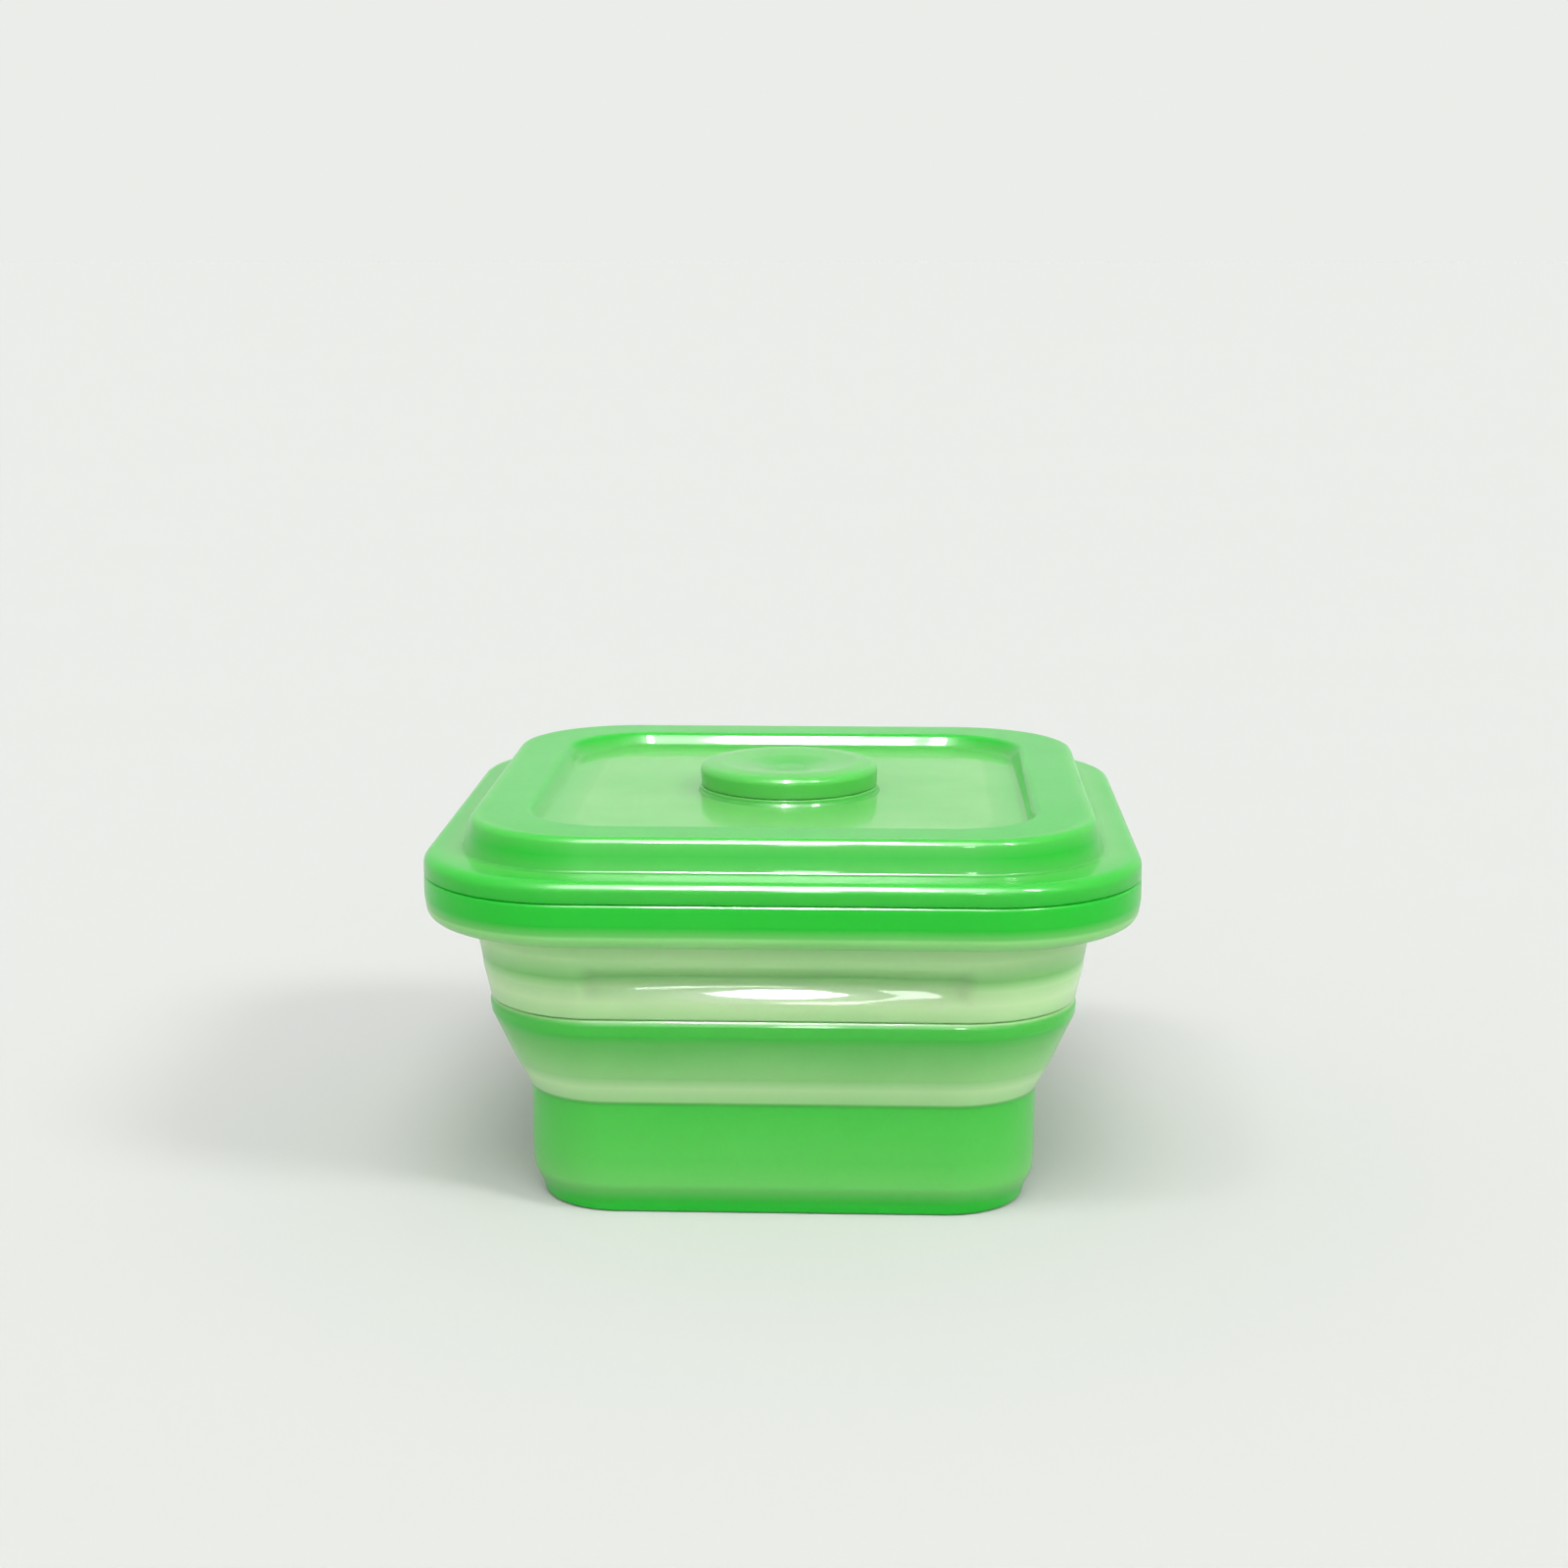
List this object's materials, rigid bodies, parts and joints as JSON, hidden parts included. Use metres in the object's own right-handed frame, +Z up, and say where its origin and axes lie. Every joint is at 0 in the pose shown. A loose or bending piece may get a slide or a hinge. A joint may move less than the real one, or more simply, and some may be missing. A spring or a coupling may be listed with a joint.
{
  "type": "collapsible food box",
  "caption": "Square translucent silicone food box whose bowl folds flat, with a press-on lid and a round pull-up vent plug.",
  "frame": {"origin": "middle of the flat foot that the box stands on", "axes": "+Z up through the vent plug, +X to the right and +Y to the back, along the box's sides"},
  "size_m": [0.13, 0.13, 0.0762],
  "materials": {
    "thick_silicone": "translucent, soft gloss",
    "thin_silicone": "translucent, soft gloss",
    "lid_silicone": "translucent, soft gloss"
  },
  "bodies": {
    "cup_body": {"base_cup": "thick_silicone", "lower_fold": "thin_silicone"},
    "ring_body": {"fold_ring": "thick_silicone", "upper_fold": "thin_silicone"},
    "rim_body": {"rim": "thick_silicone"},
    "lid_body": {"lid": "lid_silicone"},
    "plug_body": {"vent_plug": "lid_silicone"}
  },
  "joints": [
    {"name": "lower_fold_down", "type": "slide", "parent": "cup_body", "child": "ring_body", "axis": [0, 0, -1], "range_m": [0, 0.0236], "deforming": ["lower_fold"]},
    {"name": "upper_fold_down", "type": "slide", "parent": "ring_body", "child": "rim_body", "axis": [0, 0, -1], "range_m": [0, 0.0148], "deforming": ["upper_fold"]},
    {"name": "lid_lift", "type": "slide", "parent": "rim_body", "child": "lid_body", "axis": [0, 0, 1], "range_m": [0, 0.06]},
    {"name": "vent_pull", "type": "slide", "parent": "lid_body", "child": "plug_body", "axis": [0, 0, 1], "range_m": [0, 0.004]}
  ]
}
